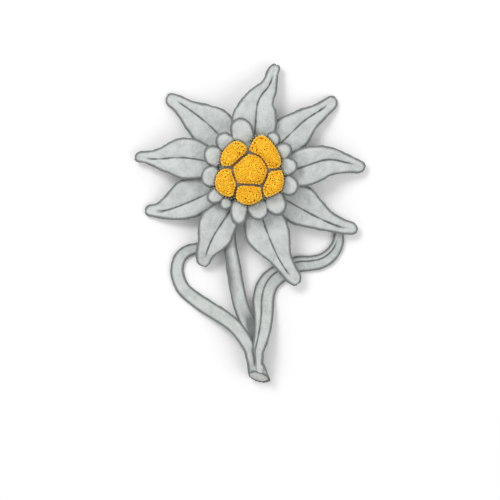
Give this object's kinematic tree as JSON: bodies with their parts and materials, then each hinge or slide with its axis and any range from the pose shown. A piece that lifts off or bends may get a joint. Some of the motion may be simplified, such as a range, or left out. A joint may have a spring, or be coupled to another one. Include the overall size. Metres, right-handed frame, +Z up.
{
  "type": "cut edelweiss flower",
  "caption": "Cut edelweiss lying face up: felted star bracts, woolly scales, golden flower heads, two leaves and a slant-cut stem.",
  "frame": {"origin": "under the middle of the flower's outline, on the surface that it lies on", "axes": "+Z up out of the star's face, +Y along the flower from the cut end to the star, +X to the right seen from above"},
  "size_m": [0.0505, 0.07, 0.0125],
  "materials": {
    "white_felt": "dense silver-grey plant wool, matt",
    "green_felt": "grey-green skin under thin silver wool, matt",
    "gold_florets": "golden florets, matt"
  },
  "bodies": {
    "root": {"bract_east": "white_felt", "bract_north": "white_felt", "bract_north_east": "white_felt", "bract_north_west": "white_felt", "bract_south_east": "white_felt", "bract_south_left": "white_felt", "bract_south_right": "white_felt", "bract_south_west": "white_felt", "bract_west": "white_felt", "flower_head_bottom": "gold_florets", "flower_head_centre": "gold_florets", "flower_head_left": "gold_florets", "flower_head_right": "gold_florets", "flower_head_upper_left": "gold_florets", "flower_head_upper_right": "gold_florets", "leaf_left": "green_felt", "leaf_right": "green_felt", "stem": "green_felt", "woolly_scale_01": "white_felt", "woolly_scale_02": "white_felt", "woolly_scale_03": "white_felt", "woolly_scale_04": "white_felt", "woolly_scale_05": "white_felt", "woolly_scale_06": "white_felt", "woolly_scale_07": "white_felt", "woolly_scale_08": "white_felt", "woolly_scale_09": "white_felt", "woolly_scale_10": "white_felt", "woolly_scale_11": "white_felt", "woolly_scale_12": "white_felt", "woolly_scale_13": "white_felt"}
  },
  "joints": []
}
